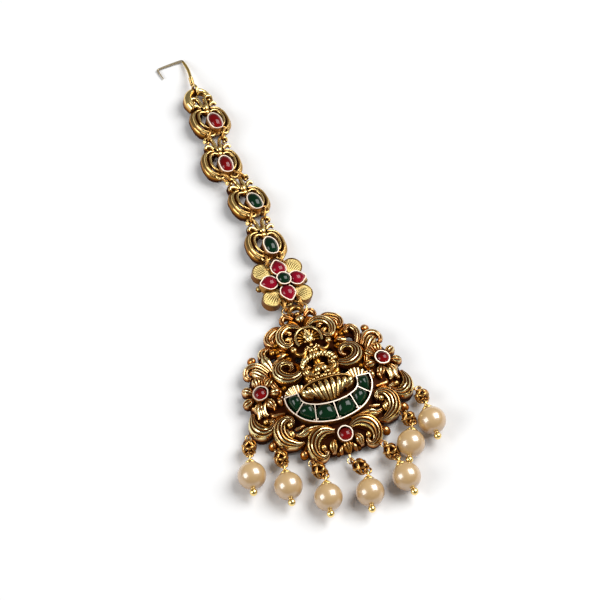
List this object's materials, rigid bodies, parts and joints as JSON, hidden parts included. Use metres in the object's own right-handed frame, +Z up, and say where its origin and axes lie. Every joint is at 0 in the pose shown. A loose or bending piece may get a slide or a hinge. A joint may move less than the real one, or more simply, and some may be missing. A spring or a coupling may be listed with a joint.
{
  "type": "maang tikka",
  "caption": "Hair-parting jewel: chain of stone-set links on a hair hook, flower link, and a domed openwork pendant edged with pearl drops.",
  "frame": {"origin": "bottom centre of the bounding box, on the table it lies on", "axes": "+Y runs up the chain to the hair hook, +Z is up out of the table, the jewel lies face up"},
  "size_m": [0.0458, 0.1236, 0.0073],
  "materials": {
    "antique_gold": "polished antique gold plate over cast brass, dark in the recesses",
    "petal_gold": "pale matt gold with fine engraving",
    "ring_wire": "polished gold wire",
    "ruby": "deep red cabochon, polished",
    "emerald": "dark green cabochon, polished",
    "pearl": "cream imitation pearl, nacre lustre"
  },
  "bodies": {
    "root": {"crescent_stone_1": "emerald", "crescent_stone_2": "emerald", "crescent_stone_3": "emerald", "crescent_stone_4": "emerald", "crescent_stone_5": "emerald", "crescent_stone_6": "emerald", "flower_emerald": "emerald", "flower_link": "petal_gold", "flower_ruby_1": "ruby", "flower_ruby_2": "ruby", "flower_ruby_3": "ruby", "flower_ruby_4": "ruby", "hair_hook": "ring_wire", "head_pin_1": "antique_gold", "head_pin_2": "antique_gold", "head_pin_3": "antique_gold", "head_pin_4": "antique_gold", "head_pin_5": "antique_gold", "head_pin_6": "antique_gold", "head_pin_7": "antique_gold", "jump_ring_1_left": "ring_wire", "jump_ring_1_right": "ring_wire", "jump_ring_2_left": "ring_wire", "jump_ring_2_right": "ring_wire", "jump_ring_3_left": "ring_wire", "jump_ring_3_right": "ring_wire", "jump_ring_4_left": "ring_wire", "jump_ring_4_right": "ring_wire", "jump_ring_5_left": "ring_wire", "jump_ring_5_right": "ring_wire", "knot_link_1": "antique_gold", "knot_link_2": "antique_gold", "knot_link_3": "antique_gold", "knot_link_4": "antique_gold", "knot_link_5": "antique_gold", "knot_link_6": "antique_gold", "knot_link_7": "antique_gold", "link_1": "antique_gold", "link_2": "antique_gold", "link_3": "antique_gold", "link_4": "antique_gold", "link_stone_1": "ruby", "link_stone_2": "ruby", "link_stone_3": "emerald", "link_stone_4": "emerald", "pearl_1": "pearl", "pearl_2": "pearl", "pearl_3": "pearl", "pearl_4": "pearl", "pearl_5": "pearl", "pearl_6": "pearl", "pearl_7": "pearl", "pendant_frame": "antique_gold", "pendant_ruby_1": "ruby", "pendant_ruby_2": "ruby", "pendant_ruby_3": "ruby"}
  },
  "joints": []
}
